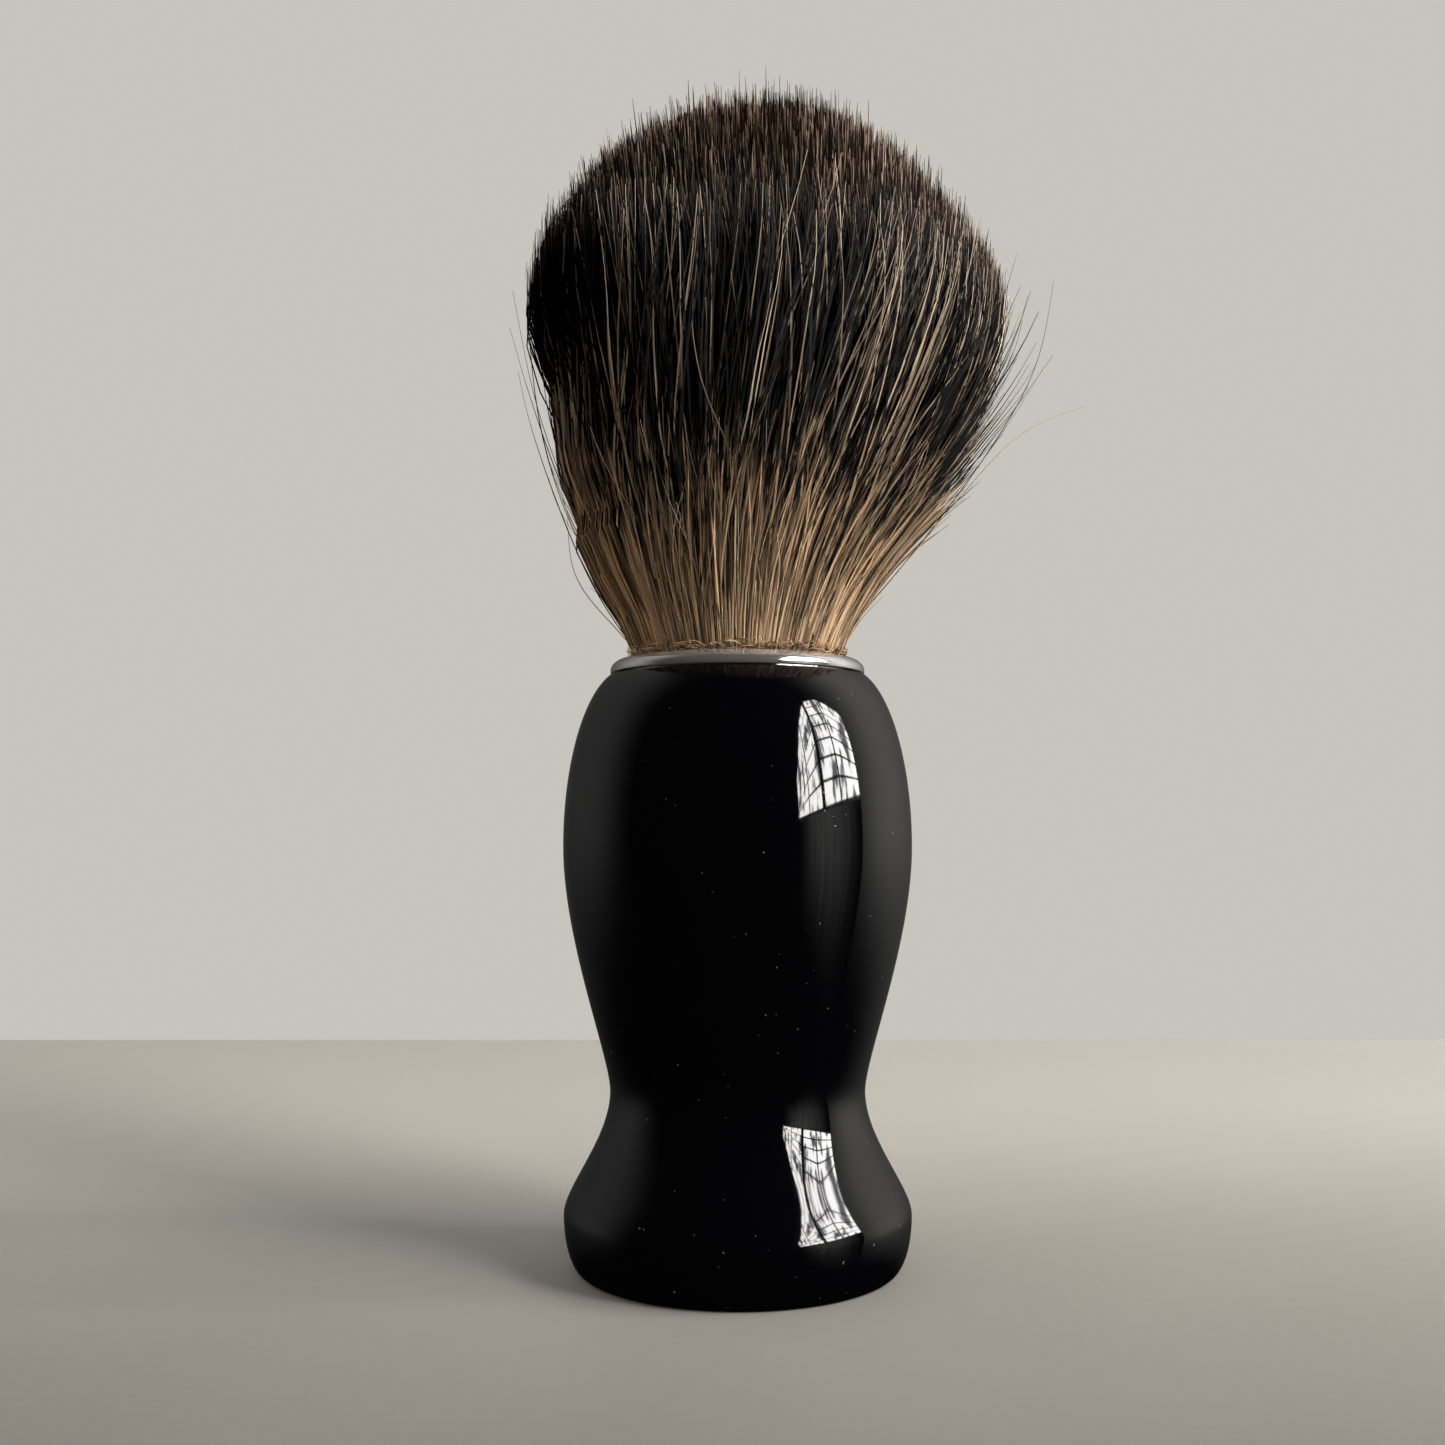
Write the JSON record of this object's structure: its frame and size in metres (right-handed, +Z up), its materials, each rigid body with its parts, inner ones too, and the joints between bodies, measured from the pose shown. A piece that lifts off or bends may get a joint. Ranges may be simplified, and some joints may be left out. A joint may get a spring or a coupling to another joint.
{
  "type": "shaving brush",
  "caption": "Shaving brush with a waisted gloss black handle, a chrome collar and a flared hair knot, standing on its flat base.",
  "frame": {"origin": "middle of the flat resting face under the handle, on the handle's axis", "axes": "+Z up along the handle's axis from the base to the hair, +X the side that the hair leans to, -Y the side that faces the viewer"},
  "size_m": [0.0478, 0.0478, 0.1126],
  "materials": {
    "black_resin": "polished deep black",
    "plug_plastic": "satin black",
    "ballast_iron": "raw",
    "collar_chrome": "polished",
    "adhesive": "cured",
    "cup_plastic": "moulded natural white",
    "cast_epoxy": "amber, glossy",
    "waxed_thread": "waxed cord",
    "badger_hair": "tan at the roots, near-black band, grey-brown tips"
  },
  "bodies": {
    "root": {"handle": "black_resin", "base_plug": "plug_plastic", "ballast_weight": "ballast_iron", "collar": "collar_chrome", "adhesive_bed": "adhesive", "knot_cup": "cup_plastic", "epoxy_plug": "cast_epoxy", "hair_binding": "waxed_thread", "hair_knot": "badger_hair"}
  },
  "joints": []
}
